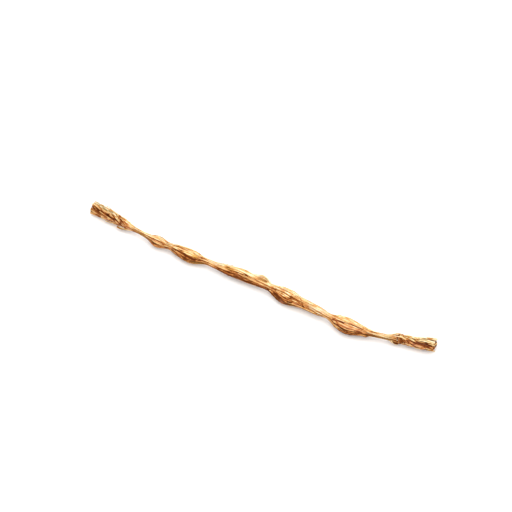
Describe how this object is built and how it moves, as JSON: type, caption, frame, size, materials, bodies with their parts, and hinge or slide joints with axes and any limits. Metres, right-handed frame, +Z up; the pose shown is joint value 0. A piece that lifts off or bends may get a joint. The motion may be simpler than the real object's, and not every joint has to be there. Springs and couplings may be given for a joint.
{
  "type": "valerian root",
  "caption": "Dried valerian root: a thin, knotty, ridged root with swellings and narrow necks, frayed into a blunt brush of fibres at each end.",
  "frame": {"origin": "on the table under the middle of the root's box", "axes": "+X along the root from its left brush to its right one, +Z up, and the root bows towards -Y"},
  "size_m": [0.1496, 0.0132, 0.006],
  "materials": {
    "dried_root": "dry fibrous root skin, dull, cream to straw on the ridges and orange-brown in the grooves"
  },
  "bodies": {
    "root": {"valerian_root": "dried_root"}
  },
  "joints": []
}
